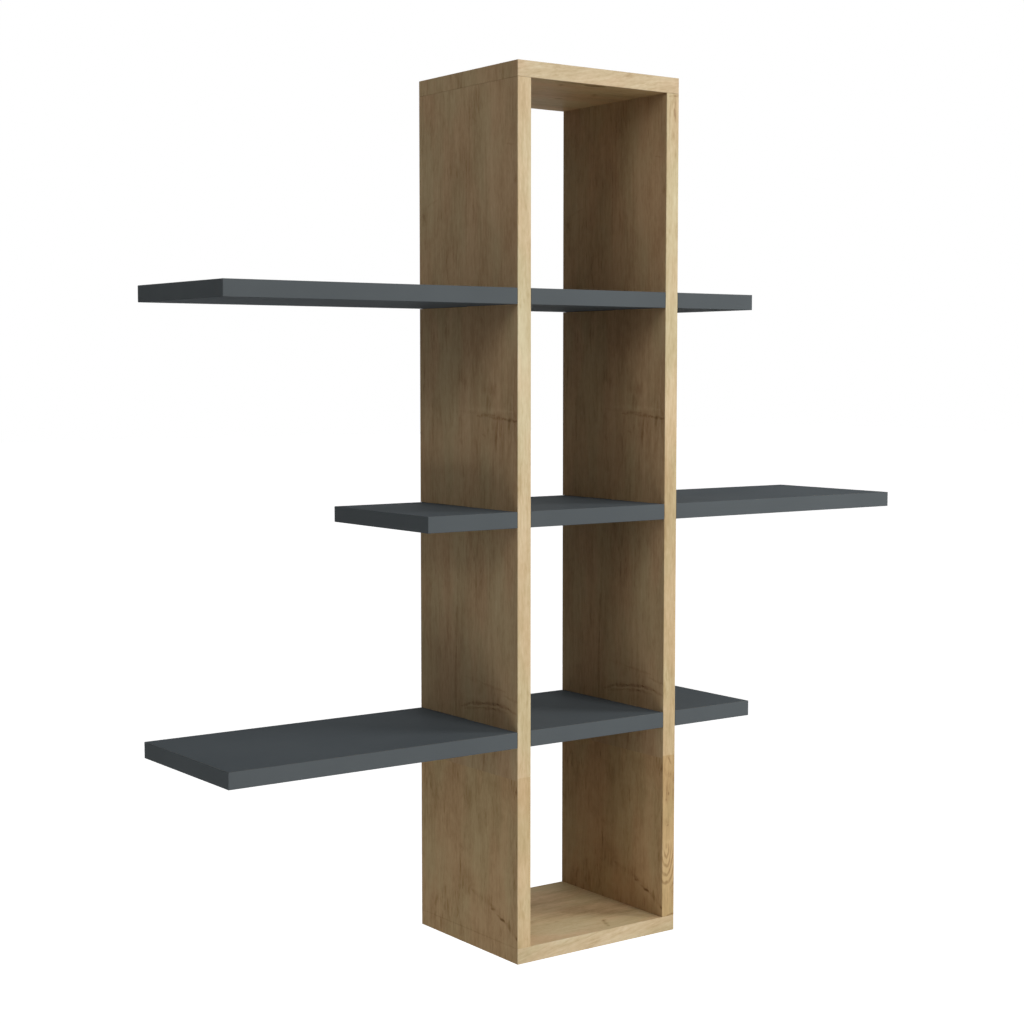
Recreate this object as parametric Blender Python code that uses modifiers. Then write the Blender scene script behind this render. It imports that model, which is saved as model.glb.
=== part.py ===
"""Wall bookcase: an oak-faced tower crossed by three anthracite shelves.

The tower is two side panels that stand between a top and a bottom panel. Each shelf is
one board that runs right through both side panels in halving joints: the shelf is slotted
from its front edge and the side panels from their back edge, so a shelf slides in from
behind. The three shelves are alike, and the middle one is turned over, which puts its long
wing on the other side. Screws and dowels hold the corners of the tower. Keyhole plates let
into the side panels' back edges hang the bookcase on two wall screws.

Metres, +Z up, +X to the right as seen from the front, +Y towards the wall. The origin is
the centre of the middle shelf's back edge, which lies against the wall.

Run it with: blender --background --python part.py
"""
import math

import bmesh
import bpy

# Boards
TOWER_WIDTH = 0.230
TOWER_HEIGHT = 1.000
DEPTH = 0.195
BOARD = 0.018  # thickness of every board, with its two melamine faces
SHELF_LENGTH = 0.706
SHORT_WING = 0.118  # how far a shelf stands out of the tower on its short side
SHELVES = (("upper_shelf", False), ("middle_shelf", True), ("lower_shelf", False))  # turned over or not

# Edge bands
BAND = 0.0008
BAND_ROUNDING = 0.0005  # radius that trimming leaves on a band's outer arrises
GLUE_LINE = 0.0001

# Halving joints
SHELF_SLOT_DEPTH = 0.0975  # from the shelf's front, the side panel's slot takes the rest
SLOT_CORNER_RADIUS = 0.003  # left by the router bit, and freed by a slot that much deeper

# Clearances
GAP = 0.0003  # round what slides, screws or plugs in
SEAT = 0.0001  # under what is pressed flat against a board

# Corner screws, the one-piece connectors of chipboard furniture
SCREW_INSET = 0.037  # from the front and from the back edge
SCREW_LENGTH = 0.050
SCREW_SINK = 0.0004  # head below the panel's outer face
SCREW_HEAD_RADIUS = 0.005
SCREW_HEAD_RIM = 0.0008
SCREW_HEAD_TAPER = 0.003
SCREW_NECK_RADIUS = 0.0035
SCREW_NECK_LENGTH = 0.010
SCREW_SHOULDER = 0.0005
SCREW_SHANK_RADIUS = 0.0031  # mean radius of the thread
SCREW_POINT = 0.005
SCREW_TIP_RADIUS = 0.001
SOCKET_WIDTH = 0.004  # of its hexagon, across the flats
SOCKET_DEPTH = 0.0032

# Caps over the screw heads
CAP_RADIUS = 0.0065
CAP_RIM = 0.0005
CAP_CROWN = 0.0007  # rise of the dome above the rim
CAP_PEG_RADIUS = 0.0015
CAP_PEG_LENGTH = 0.0024

# Fluted dowels, one between the two screws of each corner
DOWEL_RADIUS = 0.004
DOWEL_IN_PANEL = 0.012
DOWEL_IN_SIDE = 0.023
DOWEL_FLUTES = 16
DOWEL_FLUTE_DEPTH = 0.0004
DOWEL_CHAMFER = 0.001

# Keyhole plates
HANGER_DROP = 0.080  # from the top panel's outer face to the plate's centre
HANGER_WIDTH = 0.014
HANGER_LENGTH = 0.056
HANGER_THICKNESS = 0.002
ENTRY_RADIUS = 0.0046  # the round part, which the wall screw's head goes through
ENTRY_DROP = 0.006  # from the plate's centre down to the entry's centre
NECK_WIDTH = 0.0048  # the narrow part, which then holds the wall screw's shank
NECK_RISE = 0.008  # from the plate's centre up to the end of the neck
POCKET_WIDTH = 0.0106
POCKET_DEPTH = 0.012
POCKET_MARGIN = 0.002  # pocket beyond the keyhole, above and below

# Countersunk screws that hold the keyhole plates
PLATE_SCREW_OFFSET = 0.0205  # from the plate's centre, up and down
PLATE_SCREW_SINK = 0.0001
PLATE_SCREW_LENGTH = 0.016
PLATE_SCREW_HEAD_RADIUS = 0.0028
PLATE_SCREW_RIM = 0.0002
PLATE_SCREW_TAPER = 0.0014
PLATE_SCREW_SHANK_RADIUS = 0.0014
PLATE_SCREW_POINT = 0.003
PLATE_SCREW_TIP_RADIUS = 0.0003
CROSS_WIDTH = 0.0009
CROSS_LENGTH = 0.0032
CROSS_DEPTH = 0.0012

# Modelling
OVERCUT = 0.005  # how far a cutter stands out of what it cuts
ROUND_STEPS = 20
CORNER_STEPS = 4
BAND_STEPS = 2
CROWN_STEPS = 4
MERGE = 0.00001
SMOOTH_BELOW = math.radians(35)

# Worked out from the sizes above
SPACING = (TOWER_HEIGHT - BOARD) / (len(SHELVES) + 1)  # of the level boards, centre to centre
TOP_Z = (TOWER_HEIGHT - BOARD) / 2
SIDE_X = (TOWER_WIDTH - BOARD) / 2
LONG_WING = SHELF_LENGTH - TOWER_WIDTH - SHORT_WING
CORE_FRONT = -DEPTH + BAND + GLUE_LINE
HALVING_Y = -DEPTH + SHELF_SLOT_DEPTH  # where the shelf's slot and the side panel's slot meet
HALF_SLOT = BOARD / 2 + GAP

MATERIALS = {  # red, green, blue, roughness, metallic
    "oak melamine": (0.43, 0.33, 0.20, 0.55, 0.0),
    "oak edge band": (0.62, 0.48, 0.29, 0.50, 0.0),
    "anthracite melamine": (0.085, 0.097, 0.105, 0.50, 0.0),
    "anthracite edge band": (0.100, 0.112, 0.120, 0.45, 0.0),
    "zinc plated steel": (0.62, 0.63, 0.65, 0.32, 1.0),
    "beech": (0.62, 0.45, 0.27, 0.70, 0.0),
    "oak plastic": (0.58, 0.45, 0.28, 0.45, 0.0),
}


def clear_scene():
    for obj in list(bpy.data.objects):
        bpy.data.objects.remove(obj, do_unlink=True)


def new_collection(name):
    collection = bpy.data.collections.new(name)
    bpy.context.scene.collection.children.link(collection)
    return collection


def new_material(name):
    red, green, blue, roughness, metallic = MATERIALS[name]
    material = bpy.data.materials.new(name)
    material.use_nodes = True
    surface = material.node_tree.nodes["Principled BSDF"]
    surface.inputs["Base Color"].default_value = (red, green, blue, 1.0)
    surface.inputs["Roughness"].default_value = roughness
    surface.inputs["Metallic"].default_value = metallic
    return material


def place_at(name, location, rotation=(0.0, 0.0, 0.0)):
    """An empty that carries the pieces of one assembly."""
    empty = bpy.data.objects.new(name, None)
    empty.empty_display_size = BOARD
    empty.location = location
    empty.rotation_euler = rotation
    pieces.objects.link(empty)
    return empty


def as_piece(obj, place, material, location=(0.0, 0.0, 0.0), rotation=(0.0, 0.0, 0.0)):
    """Makes obj a piece of the bookcase, placed on an empty."""
    pieces.objects.link(obj)
    obj.parent = place
    obj.location = location
    obj.rotation_euler = rotation
    obj.data.materials.append(materials[material])
    return obj


def as_cutter(obj, place, location=(0.0, 0.0, 0.0)):
    """Makes obj a shape that only cuts, placed on an empty."""
    cutters.objects.link(obj)
    obj.parent = place
    obj.location = location
    obj.hide_render = True
    obj.display_type = "WIRE"
    return obj


def cut(obj, cutter):
    modifier = obj.modifiers.new(cutter.name, "BOOLEAN")
    modifier.operation = "DIFFERENCE"
    modifier.solver = "EXACT"
    modifier.object = cutter


def object_from(name, shape):
    """An object from a bmesh, which it frees."""
    mesh = bpy.data.meshes.new(name)
    shape.to_mesh(mesh)
    shape.free()
    return bpy.data.objects.new(name, mesh)


def block(name, size):
    """A rectangular block round its own origin."""
    shape = bmesh.new()
    bmesh.ops.create_cube(shape, size=1.0)
    bmesh.ops.scale(shape, vec=size, verts=shape.verts)
    return object_from(name, shape)


def routed_block(name, size, along):
    """A block whose four edges along one axis are rounded, as a router bit leaves the corners of a slot."""
    shape = bmesh.new()
    bmesh.ops.create_cube(shape, size=1.0)
    bmesh.ops.scale(shape, vec=size, verts=shape.verts)
    corners = [edge for edge in shape.edges if abs(edge.verts[0].co[along] - edge.verts[1].co[along]) > MERGE]
    bmesh.ops.bevel(shape, geom=corners, offset=SLOT_CORNER_RADIUS, segments=CORNER_STEPS, affect="EDGES",
                    profile=0.5)
    return object_from(name, shape)


def rod(name, radius, length, sides=ROUND_STEPS):
    """A straight rod or prism along its own Z, round its own origin."""
    shape = bmesh.new()
    bmesh.ops.create_cone(shape, cap_ends=True, segments=sides, radius1=radius, radius2=radius, depth=length)
    return object_from(name, shape)


def oblong(name, width, length, depth):
    """A plate or plug with round ends, long in its own Y, from Z = 0 down to the depth."""
    shape = bmesh.new()
    bmesh.ops.create_circle(shape, cap_ends=True, radius=width / 2, segments=ROUND_STEPS)
    for vert in shape.verts:
        if abs(vert.co.y) > MERGE:
            vert.co.y += math.copysign((length - width) / 2, vert.co.y)
    grown = bmesh.ops.extrude_face_region(shape, geom=shape.faces[:])["geom"]
    bottom = [item for item in grown if isinstance(item, bmesh.types.BMVert)]
    bmesh.ops.translate(shape, verts=bottom, vec=(0.0, 0.0, -depth))
    bmesh.ops.recalc_face_normals(shape, faces=shape.faces)
    return object_from(name, shape)


def turned(name, profile):
    """A solid of revolution about its own Z. The profile runs down its outer side, as (radius, height)."""
    mesh = bpy.data.meshes.new(name)
    mesh.from_pydata([(radius, 0.0, height) for radius, height in profile],
                     [(i, i + 1) for i in range(len(profile) - 1)], [])
    obj = bpy.data.objects.new(name, mesh)
    screw = obj.modifiers.new("turn", "SCREW")
    screw.axis = "Z"
    screw.steps = screw.render_steps = ROUND_STEPS
    screw.use_merge_vertices = True
    screw.merge_threshold = MERGE
    return obj


def hole_profile(profile):
    """The profile of the hole for a turned piece: the piece's own, larger by the gap and open at its mouth."""
    wall = [(radius + GAP, height - GAP) for radius, height in profile[1:-1]]
    mouth_radius, floor = wall[0][0], wall[-1][1]
    return [(0.0, OVERCUT), (mouth_radius, OVERCUT)] + wall + [(0.0, floor)]


def edge_band(name, place, material, length, location, rotation, free_ends=()):
    """A strip on a board's edge. It lies along its own X with its outer face towards -Y, and that face's long
    arrises are rounded, as are those of its free ends: -1 for the one at -X and 1 for the one at +X."""
    shape = bmesh.new()
    bmesh.ops.create_cube(shape, size=1.0)
    bmesh.ops.scale(shape, vec=(length, BAND, BOARD), verts=shape.verts)
    arrises = []
    for edge in shape.edges:
        start, end = (vert.co for vert in edge.verts)
        across_an_end = start.x * end.x > 0
        butted = across_an_end and math.copysign(1, start.x) not in free_ends
        if start.y < 0 and end.y < 0 and not butted:
            arrises.append(edge)
    bmesh.ops.bevel(shape, geom=arrises, offset=BAND_ROUNDING, segments=BAND_STEPS, affect="EDGES", profile=0.5)
    return as_piece(object_from(name, shape), place, material, location, rotation)


def level_board(name, place, finish, left, right, end_words, stretches):
    """A level board with a band on each end and one or more along its front.

    Each front band is given by its word, its two ends and which of these are free.
    """
    board_material, band_material = f"{finish} melamine", f"{finish} edge band"
    inset = BAND + GLUE_LINE
    depth = -CORE_FRONT
    core = block(name, (right - left - 2 * inset, depth, BOARD))
    as_piece(core, place, board_material, ((left + right) / 2, -depth / 2, 0.0))
    for word, x, outward in ((end_words[0], left + BAND / 2, -1), (end_words[1], right - BAND / 2, 1)):
        edge_band(f"{name}_{word}_band", place, band_material, depth, (x, -depth / 2, 0.0),
                  (0.0, 0.0, outward * math.pi / 2))
    for word, start, end, free_ends in stretches:
        edge_band(f"{name}_{word}_band", place, band_material, end - start,
                  ((start + end) / 2, -DEPTH + BAND / 2, 0.0), (0.0, 0.0, 0.0), free_ends)
    return core


def make_shelf(name, height, turned_over):
    """A shelf with its two slots. Returns the cutter that slots both side panels for it."""
    place = place_at(f"{name}_place", (0.0, 0.0, height), (0.0, math.pi if turned_over else 0.0, 0.0))
    left = -TOWER_WIDTH / 2 - LONG_WING
    right = TOWER_WIDTH / 2 + SHORT_WING
    stretches = (("long_front", left, -SIDE_X - HALF_SLOT, (-1,)),
                 ("middle_front", -SIDE_X + HALF_SLOT, SIDE_X - HALF_SLOT, ()),
                 ("short_front", SIDE_X + HALF_SLOT, right, (1,)))
    core = level_board(name, place, "anthracite", left, right, ("long_end", "short_end"), stretches)
    slot_length = SHELF_SLOT_DEPTH + SLOT_CORNER_RADIUS + OVERCUT
    slot_y = HALVING_Y + SLOT_CORNER_RADIUS - slot_length / 2
    for word, side in (("long", -1), ("short", 1)):
        slot = routed_block(f"{name}_{word}_slot", (2 * HALF_SLOT, slot_length, BOARD + 2 * OVERCUT), 2)
        cut(core, as_cutter(slot, place, (side * SIDE_X, slot_y, 0.0)))
    housing_length = -HALVING_Y + SLOT_CORNER_RADIUS + OVERCUT
    housing = routed_block(f"{name}_housing", (TOWER_WIDTH + 2 * OVERCUT, housing_length, 2 * HALF_SLOT), 0)
    return as_cutter(housing, place, (0.0, OVERCUT - housing_length / 2, 0.0))


def make_level_panel(name, height):
    """The top or the bottom panel, which covers the ends of the side panels."""
    half = TOWER_WIDTH / 2
    place = place_at(f"{name}_place", (0.0, 0.0, height))
    return level_board(name, place, "oak", -half, half, ("left_end", "right_end"), (("front", -half, half, (-1, 1)),))


def make_side_panel(name, side, housings):
    """A side panel, slotted from its back edge for each shelf."""
    place = place_at(f"{name}_place", (side * SIDE_X, 0.0, 0.0))
    height = TOWER_HEIGHT - 2 * BOARD - 2 * SEAT
    depth = -CORE_FRONT
    core = as_piece(block(name, (BOARD, depth, height)), place, "oak melamine", (0.0, -depth / 2, 0.0))
    for housing in housings:
        cut(core, housing)
    edge_band(f"{name}_front_band", place, "oak edge band", height, (0.0, -DEPTH + BAND / 2, 0.0),
              (0.0, -math.pi / 2, 0.0))
    return core


def corner_screw_profile():
    head = -SCREW_SINK
    rim = head - SCREW_HEAD_RIM
    neck = rim - SCREW_HEAD_TAPER
    shoulder = neck - SCREW_NECK_LENGTH
    tip = head - SCREW_LENGTH
    return [(0.0, head), (SCREW_HEAD_RADIUS, head), (SCREW_HEAD_RADIUS, rim), (SCREW_NECK_RADIUS, neck),
            (SCREW_NECK_RADIUS, shoulder), (SCREW_SHANK_RADIUS, shoulder - SCREW_SHOULDER),
            (SCREW_SHANK_RADIUS, tip + SCREW_POINT), (SCREW_TIP_RADIUS, tip), (0.0, tip)]


def cap_profile():
    """A shallow dome over a rim, with a peg that plugs into the screw's socket."""
    rim_top = SEAT + CAP_RIM
    peg_end = SEAT - CAP_PEG_LENGTH
    angles = [math.pi / 2 * step / CROWN_STEPS for step in range(CROWN_STEPS + 1)]
    dome = [(CAP_RADIUS * math.sin(angle), rim_top + CAP_CROWN * math.cos(angle)) for angle in angles]
    return dome + [(CAP_RADIUS, SEAT), (CAP_PEG_RADIUS, SEAT), (CAP_PEG_RADIUS, peg_end), (0.0, peg_end)]


def plate_screw_profile():
    head = -PLATE_SCREW_SINK
    rim = head - PLATE_SCREW_RIM
    neck = rim - PLATE_SCREW_TAPER
    tip = head - PLATE_SCREW_LENGTH
    return [(0.0, head), (PLATE_SCREW_HEAD_RADIUS, head), (PLATE_SCREW_HEAD_RADIUS, rim),
            (PLATE_SCREW_SHANK_RADIUS, neck), (PLATE_SCREW_SHANK_RADIUS, tip + PLATE_SCREW_POINT),
            (PLATE_SCREW_TIP_RADIUS, tip), (0.0, tip)]


def fluted_dowel(name):
    """A dowel along its own Z with pressed flutes and chamfered ends, bridged from four rings."""
    half = (DOWEL_IN_PANEL + DOWEL_IN_SIDE) / 2 - GAP
    small = 1 - DOWEL_CHAMFER / DOWEL_RADIUS
    valley = 1 - DOWEL_FLUTE_DEPTH / DOWEL_RADIUS
    shape = bmesh.new()
    for height, size in ((-half, small), (DOWEL_CHAMFER - half, 1), (half - DOWEL_CHAMFER, 1), (half, small)):
        ring = bmesh.ops.create_circle(shape, radius=DOWEL_RADIUS * size, segments=2 * DOWEL_FLUTES)["verts"]
        bmesh.ops.scale(shape, vec=(valley, valley, 1.0), verts=ring[::2])
        bmesh.ops.translate(shape, vec=(0.0, 0.0, height), verts=ring)
    bmesh.ops.bridge_loops(shape, edges=shape.edges)
    bmesh.ops.holes_fill(shape, edges=[edge for edge in shape.edges if edge.is_boundary], sides=0)
    bmesh.ops.recalc_face_normals(shape, faces=shape.faces)
    return object_from(name, shape)


def make_corner(name, side, level, panel, side_panel):
    """Two capped screws and a dowel between them. The empty is on the panel's outer face, with its Z outwards."""
    place = place_at(f"{name}_place", (side * SIDE_X, -DEPTH / 2, level * TOWER_HEIGHT / 2),
                     (0.0, 0.0 if level > 0 else math.pi, 0.0))
    bores = []
    for word, forward in (("front", -1), ("back", 1)):
        spot = (0.0, forward * (DEPTH / 2 - SCREW_INSET), 0.0)
        profile = corner_screw_profile()
        screw = as_piece(turned(f"{name}_{word}_screw", profile), place, "zinc plated steel", spot)
        socket = rod(f"{name}_{word}_socket", SOCKET_WIDTH / 2 / math.cos(math.pi / 6), 2 * SOCKET_DEPTH, 6)
        cut(screw, as_cutter(socket, place, (spot[0], spot[1], -SCREW_SINK)))
        as_piece(turned(f"{name}_{word}_cap", cap_profile()), place, "oak plastic", spot)
        bores.append(as_cutter(turned(f"{name}_{word}_screw_hole", hole_profile(profile)), place, spot))
    middle = (0.0, 0.0, -BOARD + (DOWEL_IN_PANEL - DOWEL_IN_SIDE) / 2)
    as_piece(fluted_dowel(f"{name}_dowel"), place, "beech", middle)
    bore = rod(f"{name}_dowel_hole", DOWEL_RADIUS + GAP, DOWEL_IN_PANEL + DOWEL_IN_SIDE)
    bores.append(as_cutter(bore, place, middle))
    for bore in bores:
        cut(panel, bore)
        cut(side_panel, bore)


def make_hanger(name, side, side_panel):
    """A keyhole plate and its screws. The empty is on the back edge, with its Y upwards and its Z to the wall."""
    place = place_at(f"{name}_place", (side * SIDE_X, 0.0, TOWER_HEIGHT / 2 - HANGER_DROP),
                     (math.pi / 2, 0.0, math.pi))
    plate = as_piece(oblong(f"{name}_plate", HANGER_WIDTH, HANGER_LENGTH, HANGER_THICKNESS), place,
                     "zinc plated steel")
    entry = rod(f"{name}_entry", ENTRY_RADIUS, 2 * OVERCUT)
    cut(plate, as_cutter(entry, place, (0.0, -ENTRY_DROP, 0.0)))
    neck_length = NECK_RISE + ENTRY_DROP
    neck = oblong(f"{name}_neck", NECK_WIDTH, neck_length, 2 * OVERCUT)
    cut(plate, as_cutter(neck, place, (0.0, NECK_RISE - neck_length / 2, OVERCUT)))

    recess_depth = HANGER_THICKNESS + SEAT + OVERCUT
    recess = oblong(f"{name}_recess", HANGER_WIDTH + 2 * GAP, HANGER_LENGTH + 2 * GAP, recess_depth)
    cut(side_panel, as_cutter(recess, place, (0.0, 0.0, OVERCUT)))
    pocket_top = NECK_RISE + POCKET_MARGIN
    pocket_bottom = -ENTRY_DROP - ENTRY_RADIUS - POCKET_MARGIN
    pocket = oblong(f"{name}_pocket", POCKET_WIDTH, pocket_top - pocket_bottom, POCKET_DEPTH + OVERCUT)
    cut(side_panel, as_cutter(pocket, place, (0.0, (pocket_top + pocket_bottom) / 2, OVERCUT)))

    for word, upward in (("upper", 1), ("lower", -1)):
        spot = (0.0, upward * PLATE_SCREW_OFFSET, 0.0)
        profile = plate_screw_profile()
        screw = as_piece(turned(f"{name}_{word}_screw", profile), place, "zinc plated steel", spot)
        for axis, size in (("x", (CROSS_LENGTH, CROSS_WIDTH)), ("y", (CROSS_WIDTH, CROSS_LENGTH))):
            arm = block(f"{name}_{word}_cross_{axis}", size + (2 * CROSS_DEPTH,))
            cut(screw, as_cutter(arm, place, (spot[0], spot[1], -PLATE_SCREW_SINK)))
        hole = as_cutter(turned(f"{name}_{word}_screw_hole", hole_profile(profile)), place, spot)
        cut(plate, hole)
        cut(side_panel, hole)


def smooth_round_pieces():
    """Shades turned and fluted pieces smooth, with flat faces kept flat."""
    for obj in pieces.objects:
        if obj.type == "MESH" and obj.name.endswith(("screw", "cap", "dowel")):
            if obj.data.polygons:
                obj.data.shade_smooth()
                obj.data.set_sharp_from_angle(angle=SMOOTH_BELOW)
            else:
                obj.modifiers["turn"].use_smooth_shade = True
                obj.modifiers.new("even shading", "WEIGHTED_NORMAL")


clear_scene()
pieces = new_collection("wall_bookcase")
cutters = new_collection("cutters")
materials = {name: new_material(name) for name in MATERIALS}

shelf_housings = [make_shelf(name, TOP_Z - SPACING * level, turned_over)
                  for level, (name, turned_over) in enumerate(SHELVES, start=1)]
level_panels = {"top": make_level_panel("top_panel", TOP_Z), "bottom": make_level_panel("bottom_panel", -TOP_Z)}
for side_word, side in (("left", -1), ("right", 1)):
    side_panel = make_side_panel(f"{side_word}_side_panel", side, shelf_housings)
    for level_word, level in (("top", 1), ("bottom", -1)):
        make_corner(f"{level_word}_{side_word}", side, level, level_panels[level_word], side_panel)
    make_hanger(f"{side_word}_hanger", side, side_panel)
smooth_round_pieces()
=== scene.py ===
# %% [markdown]
# # A wall bookcase of oak and anthracite boards
#
# The bookcase is a narrow tower of oak-faced boards that three anthracite shelves run
# through. Its solids come measured and packed, in metres, with the wall at Y = 0 and the
# front towards -Y. This script leaves them where they are, gives each one the finish of the
# real material, and models its small hardware again in full detail.

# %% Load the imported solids
import math

import bmesh
import bpy
from mathutils import Matrix, Vector


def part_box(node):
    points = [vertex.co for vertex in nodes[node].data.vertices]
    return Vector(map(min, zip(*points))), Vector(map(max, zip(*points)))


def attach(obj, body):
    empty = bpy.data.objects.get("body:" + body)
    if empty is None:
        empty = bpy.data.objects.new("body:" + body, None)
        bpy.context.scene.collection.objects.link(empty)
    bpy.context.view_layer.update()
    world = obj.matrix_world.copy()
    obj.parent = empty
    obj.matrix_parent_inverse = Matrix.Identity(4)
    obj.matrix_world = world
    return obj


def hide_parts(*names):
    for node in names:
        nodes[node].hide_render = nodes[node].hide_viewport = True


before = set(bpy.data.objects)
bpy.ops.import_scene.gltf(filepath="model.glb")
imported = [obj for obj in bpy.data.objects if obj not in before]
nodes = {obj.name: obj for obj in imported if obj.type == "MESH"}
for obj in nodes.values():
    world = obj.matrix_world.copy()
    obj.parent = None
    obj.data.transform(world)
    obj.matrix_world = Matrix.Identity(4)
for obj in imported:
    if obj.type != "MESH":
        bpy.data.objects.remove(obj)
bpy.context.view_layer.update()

# %% [markdown]
# ## The camera
#
# The photograph was taken from the left and a little above the middle shelf, with a long
# lens. The camera's place and lens were solved together with the boards' proportions, from
# their straight edges, so the model's edges fall within about a pixel of the picture's.

# %% Set the camera
camera = bpy.data.objects.new("camera", bpy.data.cameras.new("camera"))
camera.data.lens = 66.35
camera.data.sensor_width = 36.0
camera.location = (-1.3366, -1.8670, 0.1642)
camera.rotation_euler = (1.4960, 0.0, -0.6279)
bpy.context.scene.collection.objects.link(camera)
bpy.context.scene.camera = camera
bpy.context.scene.view_settings.view_transform = "Standard"
print("camera", round(camera.location.length, 2), "m from the middle shelf")

# %% [markdown]
# ## Drawing shader nodes in a few words
#
# Every finish below is a graph of nodes, which this small class draws. Most of its methods
# add one node, connect what they are given and hand back the output, so a graph reads like
# arithmetic.


# %% A pen that draws nodes
class Pen:
    """Draws nodes in the tree of one material, world or node group."""

    def __init__(self, tree):
        self.tree = tree

    def put(self, socket, value):
        """Connects an output to a socket, or sets the socket to a plain value."""
        if isinstance(value, bpy.types.NodeSocket):
            self.tree.links.new(value, socket)
        else:
            socket.default_value = value

    def node(self, kind, inputs=None, **settings):
        node = self.tree.nodes.new(f"ShaderNode{kind}")
        for name, value in settings.items():
            setattr(node, name, value)
        for name, value in (inputs or {}).items():
            self.put(node.inputs[name], value)
        return node

    def fill(self, node, *values):
        """Gives the values to a node's sockets in their order, and hands the node back."""
        for socket, value in zip(node.inputs, values):
            self.put(socket, value)
        return node

    def math(self, operation, *values, clamp=False):
        return self.fill(self.node("Math", operation=operation, use_clamp=clamp), *values).outputs[0]

    def total(self, *values):
        result = values[0]
        for value in values[1:]:
            result = self.math("ADD", result, value)
        return result

    def vector(self, operation, *values, output="Vector"):
        return self.fill(self.node("VectorMath", operation=operation), *values).outputs[output]

    def shrink(self, vector, factor):
        return self.node("VectorMath", {"Vector": vector, "Scale": factor}, operation="SCALE").outputs[0]

    def split(self, vector):
        return self.node("SeparateXYZ", {"Vector": vector}).outputs[:]

    def join(self, x, y, z):
        return self.node("CombineXYZ", {"X": x, "Y": y, "Z": z}).outputs[0]

    def fade(self, value, start, end, low=0.0, high=1.0):
        """Turns smoothly from low to high while value runs from start to end."""
        names = ("Value", "From Min", "From Max", "To Min", "To Max")
        inputs = dict(zip(names, (value, start, end, low, high)))
        return self.node("MapRange", inputs, interpolation_type="SMOOTHSTEP").outputs[0]

    def noise(self, place, per_metre, detail=2.0, roughness=0.5, output="Fac"):
        """Noise with its own count of waves per metre in each of three directions."""
        stretched = self.vector("MULTIPLY", place, per_metre)
        inputs = {"Vector": stretched, "Scale": 1.0, "Detail": detail, "Roughness": roughness}
        return self.node("TexNoise", inputs).outputs[output]

    def swing(self, value, amount):
        """A noise value, moved to swing round zero by an amount."""
        return self.math("MULTIPLY", self.math("SUBTRACT", value, 0.5), amount)

    def mix(self, factor, first, second):
        node = self.node("Mix", data_type="RGBA")
        self.put(node.inputs[0], factor)
        self.put(node.inputs[6], first)
        self.put(node.inputs[7], second)
        return node.outputs[2]

    def ramp(self, value, stops):
        """A colour ramp from (place, colour) pairs."""
        node = self.node("ValToRGB", {"Fac": value})
        elements = node.color_ramp.elements
        while len(elements) < len(stops):
            elements.new(0.5)
        for element, (place, colour) in zip(elements, stops):
            element.position = place
            element.color = (*colour, 1.0)
        return node.outputs[0]

    def bump(self, height, depth):
        """Relief, where depth is the metres that a height of 1 stands for."""
        return self.node("Bump", {"Height": height, "Distance": depth, "Strength": 1.0}).outputs[0]

    def group(self, name, inputs):
        return self.node("Group", inputs, node_tree=bpy.data.node_groups[name]).outputs


PLACE = ("Place", "Vector", (0.0, 0.0, 0.0))  # an input of every node group below


def new_group(name, inputs, outputs):
    """An empty node group, with the pen that draws in it, its inputs and the node that ends it."""
    tree = bpy.data.node_groups.new(name, "ShaderNodeTree")
    for label, kind, value in inputs:
        socket = tree.interface.new_socket(name=label, in_out="INPUT", socket_type=f"NodeSocket{kind}")
        socket.default_value = value
    for label, kind in outputs:
        tree.interface.new_socket(name=label, in_out="OUTPUT", socket_type=f"NodeSocket{kind}")
    pen = Pen(tree)
    start = tree.nodes.new("NodeGroupInput")
    end = tree.nodes.new("NodeGroupOutput")
    return pen, start.outputs, end.inputs


def end_material(pen, surface, colour, roughness, height, depth):
    pen.put(surface["Base Color"], colour)
    pen.put(surface["Roughness"], roughness)
    pen.put(surface["Normal"], pen.bump(height, depth))


def new_material(name, roughness, **constants):
    """A material with its pen and its Principled BSDF. Constants are set on the shader's own sockets."""
    material = bpy.data.materials.new(name)
    material.use_nodes = True
    surface = material.node_tree.nodes["Principled BSDF"]
    surface.inputs["Roughness"].default_value = roughness
    for label, value in constants.items():
        surface.inputs[label.replace("_", " ")].default_value = value
    return material, Pen(material.node_tree), surface.inputs


# %% [markdown]
# ## Light, floor and background
#
# The photograph shows the bookcase against plain white. Its front edges are brightest and its
# left faces several times darker, those of the top and bottom compartments least so. Trying
# lamps one at a time and weighing them against the photograph gave this set: a wide sun lamp
# in front and above as the key, a soft lamp at the right, two narrow ones at the left that
# shine on the tower's two ends, and a fill from the front left of the sky. One more sun lamp
# shines level and straight from behind, so it reaches the bare back edges and nothing that
# the photograph shows. It is kept out of reflections, or the steel plates would turn into
# white glare. Only what the camera, a mirror or glass sees of the world and of the floor is
# lifted to white, so the background is white and the light on the wood isn't. The floor lies
# where a room's floor would be under a bookcase on the wall, and it keeps its shadow.

# %% Light the scene
KEY_STRENGTH = 1.5
KEY_SIDE = math.radians(5)  # to the right of straight ahead
KEY_HEIGHT = math.radians(28)
KEY_WIDTH = math.radians(25)  # a wider lamp casts softer shadows
BACK_STRENGTH = 1.3
SIDE_LAMP = ((2.0, -1.8, 0.8), 1.0, 39.0)  # place, width in metres, watts
LEFT_LAMPS = {  # place, aim, width in metres, spread in degrees, watts
    "low lamp": ((-1.7, -0.55, -0.9), (-0.1, -0.1, -0.5), 0.8, 50, 0.85),
    "high lamp": ((-1.7, -0.7, 1.0), (-0.1, -0.1, 0.5), 0.8, 40, 0.50),
}
SKY_FILL = 0.08  # from every side
LEFT_FILL = 0.34  # from the front left
FRONT_FADE = (0.1, -0.3)  # parts of the sky's Y between which the front left brightens
LEFT_FADE = (-0.1, -0.7)  # and of its X


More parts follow.
